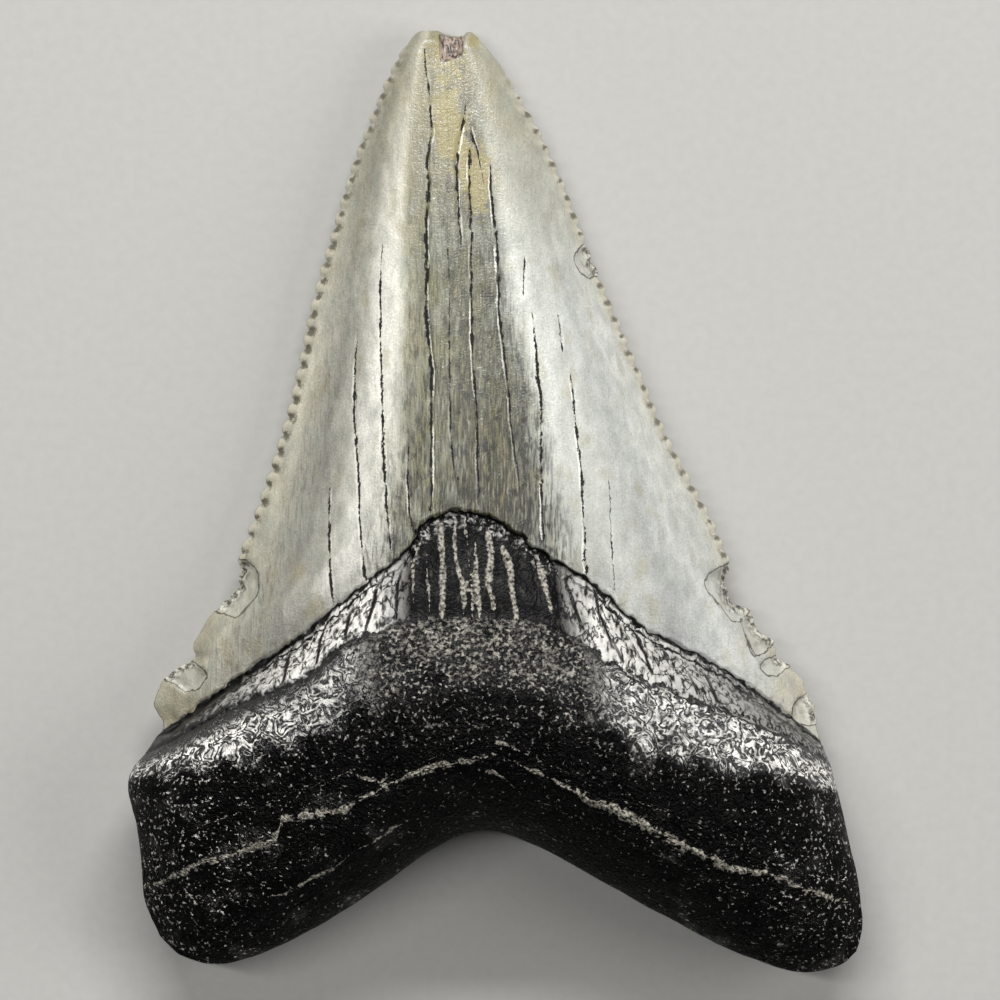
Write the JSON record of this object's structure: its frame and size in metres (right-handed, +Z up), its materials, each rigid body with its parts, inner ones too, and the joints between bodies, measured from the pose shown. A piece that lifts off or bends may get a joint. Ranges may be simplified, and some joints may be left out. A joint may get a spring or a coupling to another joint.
{
  "type": "fossil megalodon tooth",
  "caption": "Fossil shark tooth lying on its flat face: serrated grey enamel crown with a chipped tip over a thick, dark, two-lobed root.",
  "frame": {"origin": "on the resting surface, under the middle of the tooth's bounding box", "axes": "+Y from the root's lobes to the tip; +Z up, out of the bulging lingual face; +X to the right, seen from above with the tip away"},
  "size_m": [0.0467, 0.06, 0.0128],
  "materials": {
    "fossil": "satin grey enamel over a glossy black mineralised root"
  },
  "bodies": {
    "root": {"tooth": "fossil"}
  },
  "joints": []
}
